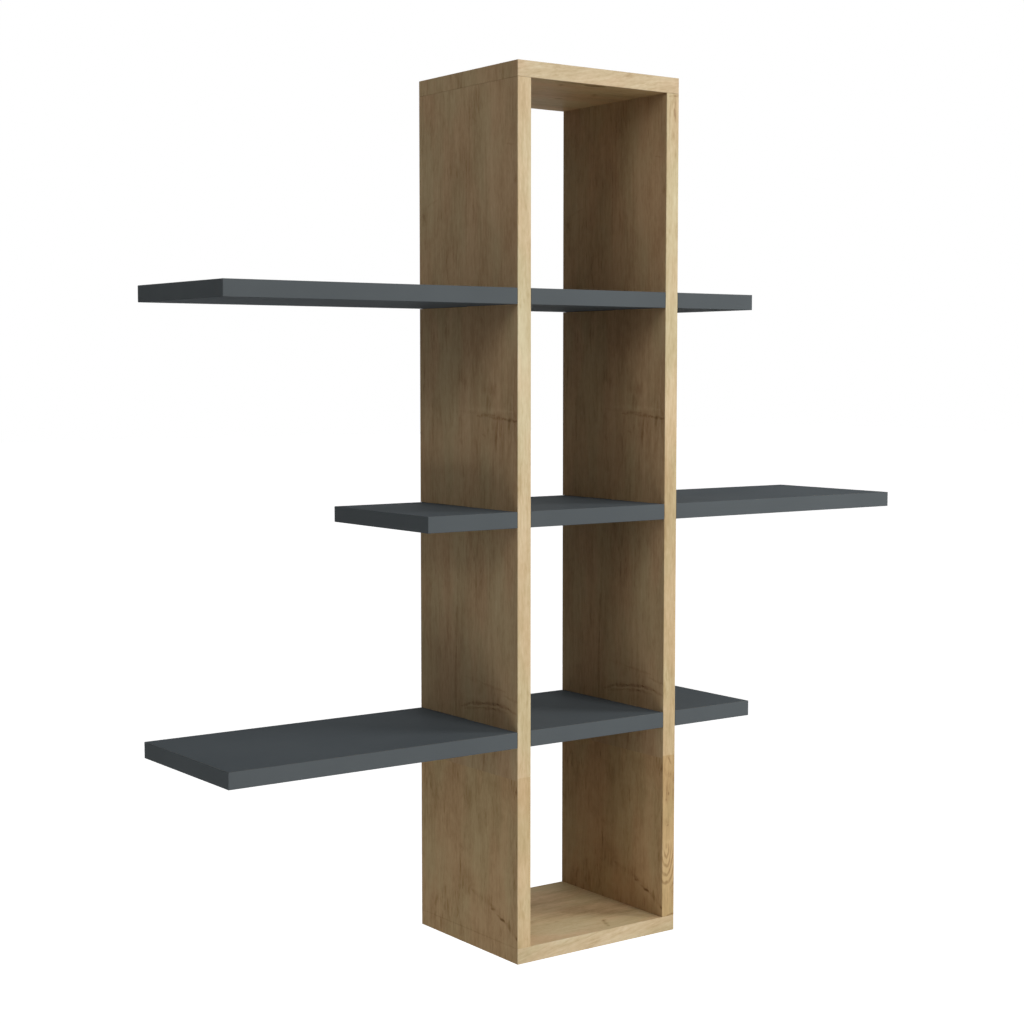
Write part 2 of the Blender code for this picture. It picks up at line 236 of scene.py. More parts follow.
def add_lamp(name, kind, towards, place=(0.0, 0.0, 0.0), **settings):
    """Adds a lamp whose light comes from the direction towards, and hands it back."""
    lamp = bpy.data.objects.new(name, bpy.data.lights.new(name, kind))
    for key, value in settings.items():
        setattr(lamp.data, key, value)
    lamp.location = place
    lamp.rotation_euler = Vector(towards).to_track_quat("Z", "Y").to_euler()
    bpy.context.scene.collection.objects.link(lamp)
    return lamp


def seen_directly(pen):
    """1 for what the camera, a mirror or glass sees, and 0 for the light that falls on the object."""
    path = pen.node("LightPath").outputs
    seen = pen.total(path["Is Camera Ray"], path["Is Glossy Ray"], path["Is Transmission Ray"])
    return pen.math("MINIMUM", seen, 1.0)


to_key = (math.sin(KEY_SIDE) * math.cos(KEY_HEIGHT), -math.cos(KEY_SIDE) * math.cos(KEY_HEIGHT),
          math.sin(KEY_HEIGHT))
add_lamp("key lamp", "SUN", to_key, energy=KEY_STRENGTH, angle=KEY_WIDTH)
back_lamp = add_lamp("back lamp", "SUN", (0.0, 1.0, 0.0), energy=BACK_STRENGTH)
back_lamp.visible_glossy = False
place, width, watts = SIDE_LAMP
add_lamp("side lamp", "AREA", place, place, energy=watts, size=width)
for name, (place, aim, width, spread, watts) in LEFT_LAMPS.items():
    add_lamp(name, "AREA", Vector(place) - Vector(aim), place, energy=watts, size=width,
             spread=math.radians(spread))

world = bpy.data.worlds.new("studio")
world.use_nodes = True
bpy.context.scene.world = world
pen = Pen(world.node_tree)
background = world.node_tree.nodes["Background"].inputs
background["Color"].default_value = (1.0, 1.0, 1.0, 1.0)
direction = pen.split(pen.node("TexCoord").outputs["Generated"])
front_left = pen.math("MULTIPLY", pen.fade(direction[1], *FRONT_FADE), pen.fade(direction[0], *LEFT_FADE))
fill = pen.math("MULTIPLY_ADD", front_left, LEFT_FILL, SKY_FILL)
pen.put(background["Strength"], pen.math("MAXIMUM", seen_directly(pen), fill))
print("key lamp comes from", [round(part, 2) for part in to_key])

# %% Lay the floor
FLOOR_DROP = 1.10  # from the middle shelf down to the floor
FLOOR_SIZE = 60.0
SEEN_GREY = (0.80, 0.80, 0.80, 1.0)
LIFT = 0.78  # glow that brings the floor up to white where it is seen
QUIET_GREY = (0.50, 0.50, 0.50, 1.0)  # for the light that the floor throws back at the object

shape = bmesh.new()
bmesh.ops.create_grid(shape, x_segments=1, y_segments=1, size=FLOOR_SIZE / 2)
bmesh.ops.translate(shape, verts=shape.verts, vec=(0.0, 0.0, -FLOOR_DROP))
floor_mesh = bpy.data.meshes.new("floor")
shape.to_mesh(floor_mesh)
shape.free()
floor = bpy.data.objects.new("floor", floor_mesh)
bpy.context.scene.collection.objects.link(floor)

pale = bpy.data.materials.new("pale floor")
pale.use_nodes = True
pen = Pen(pale.node_tree)
pen.tree.nodes.remove(pen.tree.nodes["Principled BSDF"])
seen_floor = pen.node("BsdfDiffuse", {"Color": SEEN_GREY}).outputs[0]
glow = pen.node("Emission", {"Color": (1.0, 1.0, 1.0, 1.0), "Strength": LIFT}).outputs[0]
white_floor = pen.fill(pen.node("AddShader"), seen_floor, glow).outputs[0]
quiet_floor = pen.node("BsdfDiffuse", {"Color": QUIET_GREY}).outputs[0]
either = pen.fill(pen.node("MixShader"), seen_directly(pen), quiet_floor, white_floor).outputs[0]
pen.put(pen.tree.nodes["Material Output"].inputs["Surface"], either)
floor_mesh.materials.append(pale)
print("floor", FLOOR_DROP, "m below the middle shelf")

# %% [markdown]
# ## Where a pattern lies on a board
#
# Oak grain has a direction, so a pattern needs to know how far across the grain and how far
# along it a point is. Object coordinates are metres here, and a board's faces share one
# print, so two of the three coordinates are enough. The third one is the number of the
# print, which moves its noise to another place.


# %% Across and along the grain
def grain_place(pen, across, along, number):
    """A point as (metres across the grain, metres along it, number of the print). Across and
    along are given as an axis, a sign and an offset."""
    point = pen.split(pen.node("TexCoord").outputs["Object"])
    parts = []
    for axis, sign, offset in (across, along):
        parts.append(pen.math("MULTIPLY_ADD", point["XYZ".index(axis)], float(sign), offset))
    return pen.join(parts[0], parts[1], number)


def faces_along(pen, axis):
    """1 on the faces that look along an axis, either way, and 0 on the others."""
    normal = pen.split(pen.vector("ABSOLUTE", pen.node("TexCoord").outputs["Normal"]))
    return pen.math("GREATER_THAN", normal["XYZ".index(axis)], 0.5)


# %% [markdown]
# ## Printed oak
#
# The faces are a printed oak decor under melamine. Close up, such a print is built of layers
# that differ mainly in scale: broad zones a few centimetres wide, bands of growth a
# centimetre wide, fibres, flecks only a few times longer than wide, a mottle, short dark
# strokes that come in patches, and hair-thin pores. Each layer is noise that is stretched
# along the grain by its own amount, and they follow one slow wander, so the fibres bend
# together.

# %% The oak grain group
WANDER = 0.012  # metres
GRAIN_LAYERS = {  # waves per metre across and along the grain, detail, roughness, swing
    "zones": (22.0, 7.0, 2.0, 0.5, 0.46),
    "growth": (85.0, 8.0, 3.0, 0.5, 0.28),
    "fibres": (320.0, 26.0, 4.0, 0.65, 0.42),
    "flecks": (420.0, 120.0, 2.0, 0.5, 0.26),
}
PORE_SHADE = -0.05

pen, given, result = new_group(
    "oak grain",
    [PLACE, ("Strokes", "Float", 0.2), ("Mottle", "Float", 0.1)],
    [("Tone", "Float"), ("Pores", "Float")])
place = given["Place"]
wander = pen.swing(pen.noise(place, (10.0, 3.0, 1.0), 2.0), WANDER)
bent = pen.vector("ADD", place, pen.join(wander, 0.0, 0.0))
layers = []
for across, along, detail, roughness, amount in GRAIN_LAYERS.values():
    layers.append(pen.swing(pen.noise(bent, (across, along, 1.0), detail, roughness), amount))
mottle = pen.swing(pen.noise(bent, (62.0, 34.0, 1.0), 4.0, 0.65), given["Mottle"])
stroke_patches = pen.fade(pen.noise(place, (28.0, 14.0, 1.0), 2.0), 0.46, 0.64)
stroke_noise = pen.noise(bent, (250.0, 42.0, 1.0), 3.0, 0.65)
strokes = pen.math("MULTIPLY", pen.fade(stroke_noise, 0.48, 0.70), given["Strokes"])
strokes = pen.math("MULTIPLY", strokes, stroke_patches)
pores = pen.fade(pen.noise(bent, (1700.0, 90.0, 1.0), 1.0), 0.54, 0.74)
tone = pen.total(0.5, *layers, mottle, pen.math("MULTIPLY", pores, PORE_SHADE))
pen.put(result["Tone"], pen.math("SUBTRACT", tone, strokes))
pen.put(result["Pores"], pores)
print("oak grain has", len(pen.tree.nodes), "nodes")

# %% [markdown]
# ## Marks in the oak
#
# What makes this decor recognisable is a handful of marks: cracks that cross the grain, long
# dark lines that follow it, small knots. Each is a soft line between two points, or a soft
# spot. The distance to a line is the same sum wherever the line lies, so one group draws
# them all, and a second draws spots.

# %% The line mark and spot mark groups
LINE_EDGE = 1.6  # where a line has faded out, in half widths
LINE_TAPER = 0.8  # share of its width that a line loses at its ends
SPOT_EDGE = 1.3  # where a spot has faded out, in radii

pen, given, result = new_group(
    "line mark",
    [PLACE, ("Start", "Vector", (0.0, 0.0, 0.0)), ("End", "Vector", (0.0, 1.0, 0.0)),
     ("Half width", "Float", 0.001), ("Strength", "Float", 1.0)],
    [("Mark", "Float")])
way = pen.vector("SUBTRACT", given["End"], given["Start"])
out = pen.vector("SUBTRACT", given["Place"], given["Start"])
reach = pen.vector("DOT_PRODUCT", out, way, output="Value")
length = pen.vector("DOT_PRODUCT", way, way, output="Value")
share = pen.math("DIVIDE", reach, length, clamp=True)
off = pen.vector("LENGTH", pen.vector("SUBTRACT", out, pen.shrink(way, share)), output="Value")
from_middle = pen.math("MULTIPLY_ADD", share, 2.0, -1.0)
taper = pen.math("MULTIPLY_ADD", pen.math("POWER", from_middle, 2.0), -LINE_TAPER, 1.0)
narrow = pen.math("MULTIPLY", given["Half width"], taper)
mark = pen.fade(pen.math("DIVIDE", off, narrow), LINE_EDGE, 0.0)
pen.put(result["Mark"], pen.math("MULTIPLY", mark, given["Strength"]))

pen, given, result = new_group(
    "spot mark",
    [PLACE, ("Centre", "Vector", (0.0, 0.0, 0.0)), ("Radii", "Vector", (0.01, 0.01, 1.0)),
     ("Strength", "Float", 1.0)],
    [("Mark", "Float")])
out = pen.vector("DIVIDE", pen.vector("SUBTRACT", given["Place"], given["Centre"]), given["Radii"])
mark = pen.fade(pen.vector("LENGTH", out, output="Value"), SPOT_EDGE, 0.0)
pen.put(result["Mark"], pen.math("MULTIPLY", mark, given["Strength"]))


def metres(pair, third=0.0):
    return (pair[0] / 1000, pair[1] / 1000, third)


def draw_marks(pen, place, lines, spots, ragged=0.0026):
    """The sum of line marks (start, end, half width, strength) and spot marks (centre, radii,
    strength), with places and sizes in millimetres across and along the grain. Ragged says
    how far they stray, in metres."""
    stray = pen.noise(place, (130.0, 70.0, 1.0), 3.0, 0.6, output="Color")
    stray = pen.vector("SUBTRACT", stray, (0.5, 0.5, 0.5))
    stray = pen.vector("MULTIPLY", stray, (ragged, 2 * ragged, 0.0))
    flat = pen.vector("MULTIPLY", pen.vector("ADD", place, stray), (1.0, 1.0, 0.0))
    marks = []
    for start, end, half_width, strength in lines:
        inputs = {"Place": flat, "Start": metres(start), "End": metres(end),
                  "Half width": half_width / 1000, "Strength": strength}
        marks.append(pen.group("line mark", inputs)["Mark"])
    for centre, radii, strength in spots:
        inputs = {"Place": flat, "Centre": metres(centre), "Radii": metres(radii, 1.0),
                  "Strength": strength}
        marks.append(pen.group("spot mark", inputs)["Mark"])
    patchy = pen.fade(pen.noise(place, (260.0, 170.0, 1.0), 3.0, 0.6), 0.36, 0.60, 0.45, 0.85)
    return pen.math("MULTIPLY", pen.total(*marks), patchy)


# %% [markdown]
# ## Raw chipboard
#
# The boards are chipboard, and only their faces and visible edges are covered. The back
# edges and the walls of the slots are bare: light chips of all sizes pressed flat, with
# darker bark between them. Voronoi cells with one tone each look like cut chips, and a
# second, finer set breaks them up.

# %% The chipboard group
CHIPS_PER_METRE = 420.0
SPLINTERS_PER_METRE = 1500.0
CHIP_SHARE = 0.6  # of the tone, the splinters give the rest
CHIP_COLOURS = [(0.0, (0.20, 0.12, 0.06)), (0.25, (0.42, 0.29, 0.16)), (0.6, (0.56, 0.42, 0.25)),
                (1.0, (0.70, 0.56, 0.37))]

pen, given, result = new_group("chipboard", [PLACE], [("Color", "Color"), ("Height", "Float")])
stray = pen.vector("MULTIPLY", pen.noise(given["Place"], (500.0,) * 3, 2.0, output="Color"), (0.002,) * 3)
ragged = pen.vector("ADD", given["Place"], stray)
chips = pen.node("TexVoronoi", {"Vector": ragged, "Scale": CHIPS_PER_METRE}).outputs
splinters = pen.node("TexVoronoi", {"Vector": ragged, "Scale": SPLINTERS_PER_METRE}).outputs
chip_tone = pen.math("MULTIPLY", pen.split(chips["Color"])[0], CHIP_SHARE)
splinter_tone = pen.math("MULTIPLY", pen.split(splinters["Color"])[1], 1 - CHIP_SHARE)
tone = pen.total(chip_tone, splinter_tone)
pen.put(result["Color"], pen.ramp(tone, CHIP_COLOURS))
pen.put(result["Height"], pen.math("SUBTRACT", tone, chips["Distance"]))
print("chipboard has", len(pen.tree.nodes), "nodes")

# %% [markdown]
# ## Pressed melamine
#
# A melamine face isn't glass smooth: the press plate leaves a fine pearl texture, which
# spreads the reflections. One group makes it for the oak, the anthracite, their bands and
# the plastic caps, as a height and as a small change of roughness, to which the marks of
# handling add a slower one.

# %% The pearl texture group
PEARLS_PER_METRE = 1100.0
HANDLING_PER_METRE = 9.0

pen, given, result = new_group("pearl texture", [PLACE, ("Roughness", "Float", 0.5)],
                               [("Height", "Float"), ("Roughness", "Float")])
pearls = pen.noise(given["Place"], (PEARLS_PER_METRE,) * 3, 2.0, 0.6)
handling = pen.noise(given["Place"], (HANDLING_PER_METRE,) * 3, 3.0, 0.6)
roughness = pen.total(given["Roughness"], pen.swing(handling, 0.10), pen.swing(pearls, 0.06))
pen.put(result["Height"], pearls)
pen.put(result["Roughness"], roughness)

# %% [markdown]
# ## The faces of the side panels
#
# Both side panels carry the same print on both faces, so its marks are given once, as
# millimetres from the back edge and below the top of the tower. They were read off the
# photograph: a crack across the grain in the second compartment, a pale and dark feathered
# band above the lower shelf, long fine lines, and a knot with a trail near the bottom. A
# fifth of the way up the print repeats, and below that line it is paler, redder and has more
# short strokes.

# %% Marks of the side panels
PRINT_REPEAT = 0.7915  # metres below the top of the tower
SIDE_LINES = [
    ((16, 146), (40, 139), 1.6, 0.14),  # tail of the upper knot
    ((96, 66), (96, 217), 1.7, 0.19),  # long line in the top compartment
    ((110, 142), (111, 171), 1.4, 0.18),
    ((103, 30), (102, 120), 1.3, 0.14),
    ((135, 50), (136, 190), 2.2, 0.11),
    ((172, 88), (188, 90), 1.2, 0.14),  # small crack across the grain
    ((83, 381), (112, 384), 2.2, 0.10),  # main crack, from the back
    ((116, 387), (152, 385), 2.3, 0.22),
    ((140, 388), (174, 389), 2.4, 0.26),
    ((170, 390), (197, 392), 2, 0.28),
    ((100, 379), (186, 381), 3.6, -0.12),  # pale edge above it
    ((128, 408), (134, 409), 1.8, 0.16),
    ((144, 412), (139, 440), 2.4, 0.10),
    ((146, 430), (145, 487), 6, 0.11),  # smudge above the middle shelf
    ((133, 440), (131, 487), 4, 0.10),
    ((79, 538), (77, 575), 4.4, 0.16),  # long line above the lower shelf
    ((78, 570), (74, 660), 2.4, 0.16),
    ((74, 650), (73, 736), 2.4, 0.20),
    ((60, 540), (60, 566), 1.8, 0.13),
    ((142, 545), (141, 592), 2.4, 0.11),
    ((90, 687), (130, 690), 2.4, 0.10),  # feathered band, its upper edge
    ((128, 690), (172, 695), 2, 0.16),
    ((168, 699), (196, 704), 2, 0.20),
    ((90, 709), (190, 702), 5.6, -0.10),
    ((83, 722), (104, 717), 2.2, 0.26),  # its dark feathers
    ((99, 717), (131, 713), 2.6, 0.30),
    ((126, 713), (160, 711), 2.6, 0.30),
    ((155, 711), (180, 713), 2.4, 0.28),
    ((175, 713), (195, 717), 2, 0.24),
    ((91, 724), (122, 719), 1.9, 0.18),
    ((117, 719), (152, 717), 1.9, 0.20),
    ((146, 717), (176, 718), 1.8, 0.18),
    ((97, 720), (136, 716), 1, -0.26),
    ((131, 715), (172, 714), 1, -0.24),
    ((105, 934), (148, 944), 5, 0.14),  # trail of the lower knot
    ((140, 943), (176, 957), 4, 0.14),
    ((168, 955), (197, 973), 3, 0.18),
    ((152, 952), (174, 958), 1.6, 0.24),
    ((100, 962), (180, 985), 11, -0.10),
]
SIDE_SPOTS = [
    ((10, 156), (7, 14), 0.34),  # upper knot
    ((12, 190), (18, 40), 0.10),
    ((190, 128), (3, 5), 0.24),
    ((100, 44), (24, 26), 0.10),
    ((85, 342), (6, 12), 0.20),  # flecks above the crack
    ((93, 350), (4, 9), 0.18),
    ((130, 355), (6, 8), 0.16),
    ((148, 359), (10, 9), 0.18),
    ((84, 415), (5, 5), 0.14),
    ((88, 446), (6, 12), 0.14),
    ((30, 842), (12, 26), 0.12),
    ((97, 826), (14, 26), 0.14),
    ((89, 888), (14, 6), 0.14),
    ((93, 932), (18, 22), 0.12),
    ((147, 947), (5, 2), 0.40),  # lower knots
    ((165, 956), (5, 2.4), 0.60),
    ((194, 971), (4, 3), 0.50),
]
print(len(SIDE_LINES), "lines and", len(SIDE_SPOTS), "spots on each side panel")

# %% [markdown]
# One function makes the oak for every board. It takes the marks off the grain's tone, turns
# the tone into a colour, swaps in the chipboard where the face isn't a printed one, and
# feeds the roughness and a bump whose height is the real depth of the texture, in metres.

# %% The oak boards
GRAIN_STOPS = (0.05, 0.30, 0.52, 0.75, 1.0)  # tones of the five colours, from dark to pale
FACE_COLOURS = [(0.165, 0.098, 0.044), (0.320, 0.206, 0.108), (0.423, 0.297, 0.169),
                (0.492, 0.361, 0.215), (0.565, 0.440, 0.285)]
LOWER_COLOURS = [(0.185, 0.108, 0.047), (0.349, 0.222, 0.106), (0.461, 0.317, 0.168),
                 (0.530, 0.384, 0.214), (0.61, 0.46, 0.28)]
# paler than the side faces: partly the oak's own tone, partly painted light falling on the level faces
LEVEL_COLOURS_WITH_PAINTED_LIGHT = [(0.27, 0.160, 0.075), (0.46, 0.325, 0.180), (0.600, 0.450, 0.265),
                 (0.680, 0.530, 0.335), (0.76, 0.63, 0.43)]
SIDE_PRINT = 0.3  # numbers of prints
END_PRINT = 21.3
PRINT_STEP = 3.7  # from a side panel's print to its repeat
PEARL_DEPTH = 0.00003
CHIP_DEPTH = 0.0004
CHIP_ROUGHNESS = 0.9
WARM = (1.03, 0.99, 0.97, 1.0)
OLIVE = (0.97, 1.01, 0.98, 1.0)


def grain_ramp(pen, tone, colours):
    return pen.ramp(tone, list(zip(GRAIN_STOPS, colours)))


def tinted(colours, tint):
    """The same colours, each channel multiplied by its own number."""
    return [tuple(channel * by for channel, by in zip(colour, tint)) for colour in colours]


def warm_and_olive(pen, place, colour):
    """Tints a colour warmer in some broad zones and more olive in others."""
    zone = pen.fade(pen.noise(place, (26.0, 9.0, 1.0), 2.0), 0.35, 0.65)
    return pen.vector("MULTIPLY", colour, pen.mix(zone, WARM, OLIVE))


def finish_board(pen, surface, printed, colour, roughness, height):
    """Ends a board's material: the print on its faces and chipboard on the rest."""
    chips = pen.group("chipboard", {"Place": pen.node("TexCoord").outputs["Object"]})
    chip_height = pen.math("MULTIPLY", chips["Height"], CHIP_DEPTH)
    face_height = pen.math("MULTIPLY", height, PEARL_DEPTH)
    end_material(pen, surface, pen.mix(printed, chips["Color"], colour),
                 pen.fade(printed, 0.0, 1.0, CHIP_ROUGHNESS, roughness),
                 pen.fade(printed, 0.0, 1.0, chip_height, face_height), 1.0)


def oak_board(name, across, along, face_axis, number, lines, spots, colours, repeat=None, strokes=0.18):
    """Oak print on the faces that look along face_axis, or everywhere where it is None. Below
    repeat, in metres along the grain, another stretch of print begins."""
    material, pen, surface = new_material(name, 0.6, Specular_IOR_Level=0.07)
    place = grain_place(pen, across, along, number)
    upper = pen.group("oak grain", {"Place": place, "Strokes": strokes, "Mottle": 0.20})
    marks = draw_marks(pen, place, lines, spots) if lines or spots else 0.0
    colour = grain_ramp(pen, pen.math("SUBTRACT", upper["Tone"], marks), colours)
    if repeat is not None:
        other_place = pen.vector("ADD", place, (0.0, 0.0, PRINT_STEP))
        lower = pen.group("oak grain", {"Place": other_place, "Strokes": 0.28, "Mottle": 0.40})
        below = pen.math("GREATER_THAN", pen.split(place)[1], repeat)
        lower_colour = grain_ramp(pen, pen.math("SUBTRACT", lower["Tone"], marks), LOWER_COLOURS)
        colour = pen.mix(below, colour, lower_colour)
    colour = warm_and_olive(pen, place, colour)
    pearl = pen.group("pearl texture", {"Place": place, "Roughness": 0.6})
    height = pen.math("SUBTRACT", pearl["Height"], upper["Pores"])
    printed = faces_along(pen, face_axis) if face_axis else 1.0
    finish_board(pen, surface, printed, colour, pearl["Roughness"], height)
    return material


def dress(material, *names):
    """Gives CAD nodes a material."""
    for name in names:
        nodes[name].material_slots[0].material = material


TOP = 0.5  # height of the tower's top above the middle shelf
LEFT = 0.115  # distance of the tower's left side from the middle
from_wall = ("Y", -1, 0.0)
downward = ("Z", -1, TOP)
rightward = ("X", 1, LEFT)
side_oak = oak_board("oak side panel", from_wall, downward, "X", SIDE_PRINT, SIDE_LINES, SIDE_SPOTS,
                     FACE_COLOURS, PRINT_REPEAT)
dress(side_oak, "left_side_panel", "right_side_panel")
print("side panels dressed")

# %% [markdown]
# On the top and bottom panels the grain runs from left to right. Their marks are those of
# the top panel's underside and of the bottom panel's upper face, which show from the front,
# as millimetres from the wall and from the tower's left side. One broad pale spot among the
# bottom panel's marks is painted light over the front of that floor. The level faces are
# paler than the side faces, partly the oak's own tone and partly painted light, and each
# panel's tint is painted light too: warm light thrown up onto the top panel's underside,
# more light on the bottom panel's upper face. Both end in bands in the tone of the side
# panels' faces, and the bottom ones carry on the side panels' print.

# %% The top and bottom panels
UNDERSIDE_LINES = [
    ((184, 100), (187, 128), 5, 0.80),
    ((188, 60), (190, 110), 3, 0.30),
    ((176, 74), (164, 82), 4, 0.30),
    ((140, 150), (120, 165), 5, 0.22),
]
UNDERSIDE_SPOTS = [
    ((81, 132), (3, 5), -0.40),
    ((85, 140), (5, 7), 0.40),
]
FLOOR_LINES = [
    ((163, 148), (186, 138), 3.4, 0.34),
    ((110, 130), (160, 205), 16, 0.16),
    ((120, 70), (100, 190), 8, 0.12),
]
FLOOR_SPOTS_AND_PAINTED_LIGHT = [
    ((164, 149), (4, 5), 0.50),
    ((135, 101), (3, 4), 0.30),
    # painted light: a broad pale patch over the front of the floor, where light falls into the bottom
    # compartment
    ((168, 95), (40, 75), -0.26),
]
LEVEL_PANELS = {  # number of the print, lines, spots, tint (painted light: warm bounce under the top, more light on the bottom)
    "top": (7.1, UNDERSIDE_LINES, UNDERSIDE_SPOTS, (1.07, 0.99, 0.85)),
    "bottom": (9.4, FLOOR_LINES, FLOOR_SPOTS_AND_PAINTED_LIGHT, (1.07, 1.06, 1.03)),
}

for level, (number, lines, spots, tint) in LEVEL_PANELS.items():
    dress(oak_board(f"oak {level} panel", from_wall, rightward, "Z", number, lines, spots,
                    tinted(LEVEL_COLOURS_WITH_PAINTED_LIGHT, tint), strokes=0.05),
          f"{level}_panel")
dress(oak_board("oak top ends", from_wall, downward, None, END_PRINT, [], [], FACE_COLOURS),
      "top_panel_left_end_band", "top_panel_right_end_band")
dress(oak_board("oak bottom ends", from_wall, downward, None, SIDE_PRINT, SIDE_LINES[-5:],
                SIDE_SPOTS[-3:], FACE_COLOURS, PRINT_REPEAT),
      "bottom_panel_left_end_band", "bottom_panel_right_end_band")
print("top and bottom panels dressed")

# %% [markdown]
# ## Oak edge bands
#
# The front edges carry a plastic band less than a millimetre thick, printed in a paler oak.
# On the side panels its grain runs up, on the top and bottom panels across, and on those
# it climbs a little. The figure is stronger than on the faces, and further down the bands
# turn a little redder. The print repeats at nearly the same height as on the faces. Below
# that line the right band was cut through a knotty place, which shows as nested arcs. The
# marks are millimetres right of the band's middle line, and below the top.

# %% Marks of the bands
BAND_REPEAT = 0.7885  # metres below the top of the tower
RIGHT_BAND_LINES = [
    ((-6, 21.5), (9, 20), 1.4, 0.34),
    ((2, 34), (4, 50), 2, 0.36),
    ((-4, 30), (-5, 70), 1.4, 0.20),
    ((-1, 791), (4, 800), 1.4, 0.30),  # knots under the line of the repeat
    ((3, 815), (0, 834), 1.4, 0.18),
    ((-2, 815), (-4, 842), 1.4, 0.18),
    ((-3, 873), (0, 872), 1.2, 0.40),
    ((-3, 982), (9, 980), 1.6, 0.46),
]
RIGHT_BAND_SPOTS = [
    ((1, 27), (7, 10), 0.20),
    ((-1, 790), (3, 4), 0.24),
    ((0, 811), (5, 5), 0.26),
    ((0, 835), (2, 3), 0.34),
    ((-4, 842), (2, 2), 0.20),
    ((-3, 868), (4, 6), 0.18),
    ((0, 892), (6, 3), -0.20),
]
ARC_CENTRE = (-0.0032, 0.896, 0.0)
ARC_SHAPE = (300.0, 90.0, 0.0)  # arcs per metre across and along the grain
ARC_WOBBLE = 0.9
ARC_TONES = (0.06, -0.24)  # what pale and dark arcs add to the tone
ARCS_START = (0.890, 0.902)
ARCS_END = (0.952, 0.941)
print(len(RIGHT_BAND_LINES), "lines and", len(RIGHT_BAND_SPOTS), "spots on the right band")

# %% Band finishes
BAND_COLOURS = [(0.29, 0.18, 0.080), (0.47, 0.345, 0.185), (0.590, 0.465, 0.278),
                (0.700, 0.585, 0.388), (0.80, 0.70, 0.52)]
KNOTTY_COLOURS = [(0.24, 0.145, 0.063), (0.41, 0.285, 0.135), (0.530, 0.385, 0.197),
                  (0.610, 0.465, 0.258), (0.69, 0.56, 0.35)]
LOWER_BAND_COLOURS = [(0.26, 0.16, 0.070), (0.43, 0.305, 0.155), (0.545, 0.407, 0.228),
                      (0.645, 0.515, 0.318), (0.72, 0.61, 0.42)]
LEFT_PRINT = 12.2
RIGHT_PRINT = 15.6
LEVEL_PRINT = 18.9
LEVEL_TINTS = {"top": (1.05, 1.02, 1.09), "bottom": (0.98, 0.99, 1.02)}
LEVEL_SLANT = -0.16
FIGURE = 1.05  # strength of the bands' figure, as a share of the faces'
REDDER = (1.0, 0.97, 0.95, 1.0)
REDDENING = (0.20, 0.60)  # metres below the top where it starts and ends
SIDE_CENTRE = 0.106  # of the side panels, left and right of the middle


def oak_band(name, across, along, number, colours, lines=(), spots=(), lower=None, arcs=False, slant=0.0,
             lighter=0.0):
    """Oak print on an edge band. Lower gives other colours below BAND_REPEAT, and arcs adds
    the knotty place."""
    material, pen, surface = new_material(name, 0.5, Specular_IOR_Level=0.15)
    place = grain_place(pen, across, along, number)
    if slant:
        parts = pen.split(place)
        place = pen.join(pen.math("MULTIPLY_ADD", parts[1], slant, parts[0]), parts[1], parts[2])
    down = pen.split(place)[1]
    grain = pen.group("oak grain", {"Place": place, "Strokes": 0.16, "Mottle": 0.16})
    tone = pen.math("MULTIPLY_ADD", grain["Tone"], FIGURE, 0.5 - 0.5 * FIGURE + lighter)
    if lines or spots:
        tone = pen.math("SUBTRACT", tone, draw_marks(pen, place, lines, spots, ragged=0.002))
    if arcs:
        out = pen.vector("MULTIPLY", pen.vector("SUBTRACT", place, ARC_CENTRE), ARC_SHAPE)
        wobble = pen.swing(pen.noise(place, (160.0, 60.0, 1.0), 2.0), ARC_WOBBLE)
        turns = pen.math("ADD", pen.vector("LENGTH", out, output="Value"), wobble)
        rings = pen.math("SINE", pen.math("MULTIPLY", turns, 2 * math.pi))
        dark = pen.fade(rings, -0.2, 0.9, *ARC_TONES)
        near = pen.math("MULTIPLY", pen.fade(down, *ARCS_START), pen.fade(down, *ARCS_END))
        tone = pen.math("ADD", tone, pen.math("MULTIPLY", dark, near))
    colour = grain_ramp(pen, tone, colours)
    if lower:
        below = pen.math("GREATER_THAN", down, BAND_REPEAT)
        colour = pen.mix(below, colour, grain_ramp(pen, tone, lower))
    red = pen.mix(pen.fade(down, *REDDENING), (1.0, 1.0, 1.0, 1.0), REDDER)
    colour = pen.vector("MULTIPLY", warm_and_olive(pen, place, colour), red)
    pearl = pen.group("pearl texture", {"Place": place, "Roughness": 0.5})
    height = pen.math("SUBTRACT", pearl["Height"], grain["Pores"])
    end_material(pen, surface, colour, pearl["Roughness"], height, PEARL_DEPTH)
    return material


dress(oak_band("oak left band", ("X", 1, SIDE_CENTRE), downward, LEFT_PRINT, BAND_COLOURS,
               lower=LOWER_BAND_COLOURS, lighter=0.10),
      "left_side_panel_front_band")
dress(oak_band("oak right band", ("X", 1, -SIDE_CENTRE), downward, RIGHT_PRINT, BAND_COLOURS,
               RIGHT_BAND_LINES, RIGHT_BAND_SPOTS, KNOTTY_COLOURS, arcs=True, lighter=-0.03),
      "right_side_panel_front_band")
for level, tint in LEVEL_TINTS.items():
    dress(oak_band(f"oak {level} band", ("Z", 1, 0.0), rightward, LEVEL_PRINT, tinted(BAND_COLOURS, tint),
                   slant=LEVEL_SLANT),
          f"{level}_panel_front_band")
print("oak bands dressed")

# %% [markdown]
# ## Anthracite
#
# The shelves are one plain dark blue-grey. A plain colour still isn't quite flat: the pearl
# texture spreads its light, and handling leaves faint duller zones. The bands match the
# boards, a shade lighter and less blue.

# %% Anthracite boards and bands
ANTHRACITE_BOARD = ((0.094, 0.109, 0.119), (0.102, 0.118, 0.128))  # its plain and its paler tone
ANTHRACITE_BAND = ((0.098, 0.110, 0.116), (0.106, 0.119, 0.125))
CLOUDS_PER_METRE = 7.0


